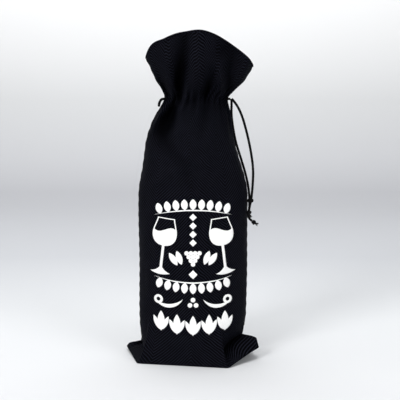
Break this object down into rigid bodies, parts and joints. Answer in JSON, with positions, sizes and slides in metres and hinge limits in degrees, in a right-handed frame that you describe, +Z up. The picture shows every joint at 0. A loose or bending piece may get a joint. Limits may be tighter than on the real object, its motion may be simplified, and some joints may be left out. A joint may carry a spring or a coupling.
{
  "type": "drawstring wine bottle gift bag",
  "caption": "Black woven cloth gift bag for one wine bottle, standing, with its neck gathered by a side-tied drawstring and a white decorative print on the front.",
  "frame": {"origin": "middle of the base's bounding box, on the surface that the bag stands on", "axes": "+Z up to the mouth, -Y out of the printed front, +X to the right of the front"},
  "size_m": [0.1424, 0.0956, 0.342],
  "materials": {
    "cloth": "matte",
    "cord": "satin",
    "thread": "satin",
    "film": "matte"
  },
  "bodies": {
    "bag": {"front_panel": "cloth", "back_panel": "cloth", "front_facing": "cloth", "back_facing": "cloth", "left_side_seam": "cloth", "right_side_seam": "cloth", "left_seam_thread": "thread", "right_seam_thread": "thread", "bottom_seam": "cloth", "bottom_seam_thread": "thread", "upper_channel_stitch": "thread", "lower_channel_stitch": "thread", "drawstring_front_run": "cord", "drawstring_back_run": "cord", "drawstring_left_bight": "cord", "top_garland": "film", "diamond_column": "film", "left_glass": "film", "right_glass": "film", "grape_bunch": "film", "centre_diamond": "film", "lower_garland": "film", "left_scroll": "film", "right_scroll": "film", "centre_berries": "film", "bottom_palmettes": "film"},
    "drawstring_pull": {"outer_strand": "cord", "inner_strand": "cord", "joining_knot": "cord", "outer_end_knot": "cord", "inner_end_knot": "cord", "outer_frayed_tip": "cord", "inner_frayed_tip": "cord"}
  },
  "joints": [
    {"name": "drawstring_swing", "type": "hinge", "parent": "bag", "child": "drawstring_pull", "pos_m": [0.04, 0, 0.2725], "axis": [0, -1, 0], "range_deg": [0, 90]}
  ]
}
